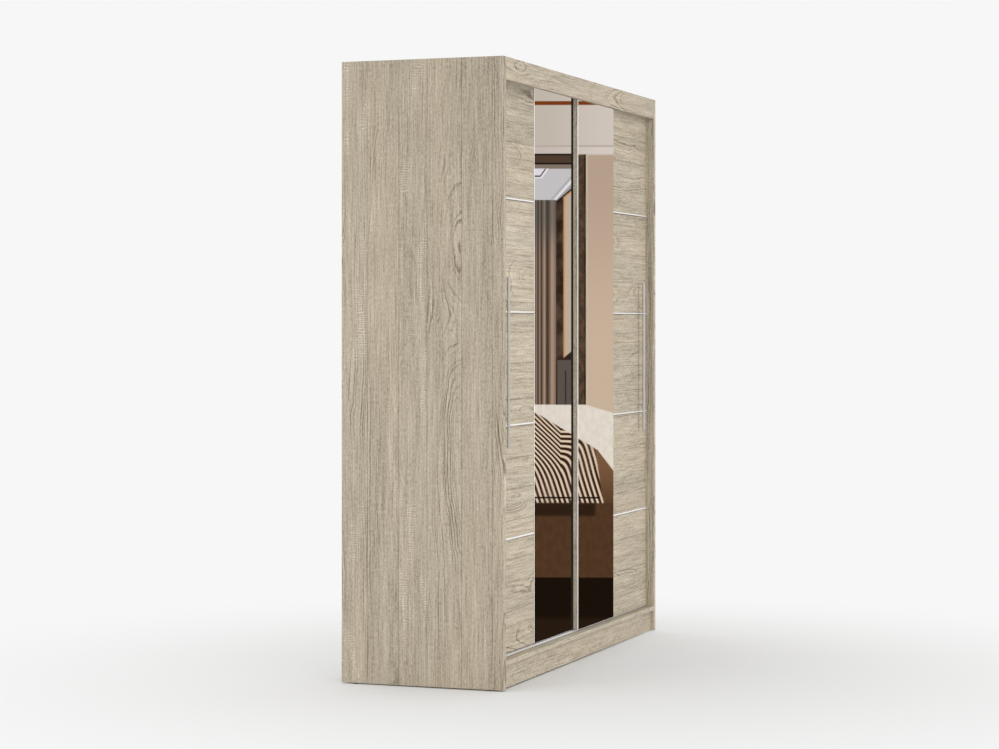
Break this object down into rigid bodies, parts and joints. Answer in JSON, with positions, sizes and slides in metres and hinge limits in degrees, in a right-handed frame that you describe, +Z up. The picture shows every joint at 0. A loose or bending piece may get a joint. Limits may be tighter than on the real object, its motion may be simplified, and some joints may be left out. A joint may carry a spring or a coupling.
{
  "type": "sliding door wardrobe",
  "caption": "Tall free-standing wardrobe with sliding half-mirrored doors on a track, long bar handles, a hanging rail and shelves.",
  "frame": {"origin": "on the floor under the middle of the wardrobe", "axes": "+X across the width to the right seen from the front, +Y from the doors to the back, +Z up"},
  "size_m": [1.8, 0.6, 2.16],
  "materials": {
    "oak_laminate": "grey-beige sawn-oak laminate with a fine open grain",
    "back_sheet": "thin fibreboard, white faced",
    "mirror": "silvered glass",
    "bright_trim": "bright plated",
    "brushed_steel": "satin",
    "aluminium": "natural anodised",
    "dark_plastic": "moulded",
    "pale_plastic": "moulded nylon",
    "brush_pile": "dense black pile"
  },
  "bodies": {
    "carcass": {"back_panel_left": "back_sheet", "back_panel_right": "back_sheet", "bottom_panel": "oak_laminate", "centre_partition": "oak_laminate", "front_plinth": "oak_laminate", "glide_left_front": "dark_plastic", "glide_left_rear": "dark_plastic", "glide_right_front": "dark_plastic", "glide_right_rear": "dark_plastic", "hanging_rail": "bright_trim", "left_side_panel": "oak_laminate", "left_top_shelf": "oak_laminate", "lower_track": "aluminium", "plinth_brace": "oak_laminate", "rail_flange_left": "bright_trim", "rail_flange_right": "bright_trim", "rear_plinth": "oak_laminate", "right_shelf_1": "oak_laminate", "right_shelf_2": "oak_laminate", "right_shelf_3": "oak_laminate", "right_shelf_4": "oak_laminate", "right_side_panel": "oak_laminate", "top_fascia": "oak_laminate", "top_panel": "oak_laminate", "upper_track": "aluminium"},
    "left_door": {"left_door_board": "oak_laminate", "left_door_mirror": "mirror", "left_door_strip_1": "bright_trim", "left_door_strip_2": "bright_trim", "left_door_strip_3": "bright_trim", "left_door_strip_4": "bright_trim", "left_door_handle_bar": "brushed_steel", "left_door_handle_post_upper": "brushed_steel", "left_door_handle_post_lower": "brushed_steel", "left_door_roller_bracket_outer": "dark_plastic", "left_door_roller_bracket_inner": "dark_plastic", "left_door_guide_housing_outer": "dark_plastic", "left_door_guide_housing_inner": "dark_plastic"},
    "left_door_wheel_outer": {"left_door_roller_wheel_outer": "pale_plastic"},
    "left_door_pin_outer": {"left_door_guide_pin_outer": "pale_plastic"},
    "left_door_wheel_inner": {"left_door_roller_wheel_inner": "pale_plastic"},
    "left_door_pin_inner": {"left_door_guide_pin_inner": "pale_plastic"},
    "right_door": {"right_door_board": "oak_laminate", "right_door_mirror": "mirror", "right_door_strip_1": "bright_trim", "right_door_strip_2": "bright_trim", "right_door_strip_3": "bright_trim", "right_door_strip_4": "bright_trim", "right_door_handle_bar": "brushed_steel", "right_door_handle_post_upper": "brushed_steel", "right_door_handle_post_lower": "brushed_steel", "right_door_roller_bracket_outer": "dark_plastic", "right_door_roller_bracket_inner": "dark_plastic", "right_door_guide_housing_outer": "dark_plastic", "right_door_guide_housing_inner": "dark_plastic", "right_door_seal": "brush_pile"},
    "right_door_wheel_outer": {"right_door_roller_wheel_outer": "pale_plastic"},
    "right_door_pin_outer": {"right_door_guide_pin_outer": "pale_plastic"},
    "right_door_wheel_inner": {"right_door_roller_wheel_inner": "pale_plastic"},
    "right_door_pin_inner": {"right_door_guide_pin_inner": "pale_plastic"}
  },
  "joints": [
    {"name": "left_door_slide", "type": "slide", "parent": "carcass", "child": "left_door", "axis": [1, 0, 0], "range_m": [0, 0.745]},
    {"name": "left_door_wheel_outer_spin", "type": "hinge", "parent": "left_door", "child": "left_door_wheel_outer", "pos_m": [-0.806, -0.232, 0.1166], "axis": [0, 1, 0], "continuous": true},
    {"name": "left_door_pin_outer_press", "type": "slide", "parent": "left_door", "child": "left_door_pin_outer", "axis": [0, 0, 1], "range_m": [-0.01, 0], "stiffness_N_per_m": 500, "springref_m": 0.003},
    {"name": "left_door_wheel_inner_spin", "type": "hinge", "parent": "left_door", "child": "left_door_wheel_inner", "pos_m": [-0.063, -0.232, 0.1166], "axis": [0, 1, 0], "continuous": true},
    {"name": "left_door_pin_inner_press", "type": "slide", "parent": "left_door", "child": "left_door_pin_inner", "axis": [0, 0, 1], "range_m": [-0.01, 0], "stiffness_N_per_m": 500, "springref_m": 0.003},
    {"name": "right_door_slide", "type": "slide", "parent": "carcass", "child": "right_door", "axis": [1, 0, 0], "range_m": [-0.745, 0]},
    {"name": "right_door_wheel_outer_spin", "type": "hinge", "parent": "right_door", "child": "right_door_wheel_outer", "pos_m": [0.806, -0.256, 0.1166], "axis": [0, 1, 0], "continuous": true},
    {"name": "right_door_pin_outer_press", "type": "slide", "parent": "right_door", "child": "right_door_pin_outer", "axis": [0, 0, 1], "range_m": [-0.01, 0], "stiffness_N_per_m": 500, "springref_m": 0.003},
    {"name": "right_door_wheel_inner_spin", "type": "hinge", "parent": "right_door", "child": "right_door_wheel_inner", "pos_m": [0.063, -0.256, 0.1166], "axis": [0, 1, 0], "continuous": true},
    {"name": "right_door_pin_inner_press", "type": "slide", "parent": "right_door", "child": "right_door_pin_inner", "axis": [0, 0, 1], "range_m": [-0.01, 0], "stiffness_N_per_m": 500, "springref_m": 0.003}
  ],
  "couplings": [
    {"joint": "left_door_wheel_outer_spin", "follows": "left_door_slide", "rad_per_m": 95.238},
    {"joint": "left_door_wheel_inner_spin", "follows": "left_door_slide", "rad_per_m": 95.238},
    {"joint": "right_door_wheel_outer_spin", "follows": "right_door_slide", "rad_per_m": 95.238},
    {"joint": "right_door_wheel_inner_spin", "follows": "right_door_slide", "rad_per_m": 95.238}
  ]
}
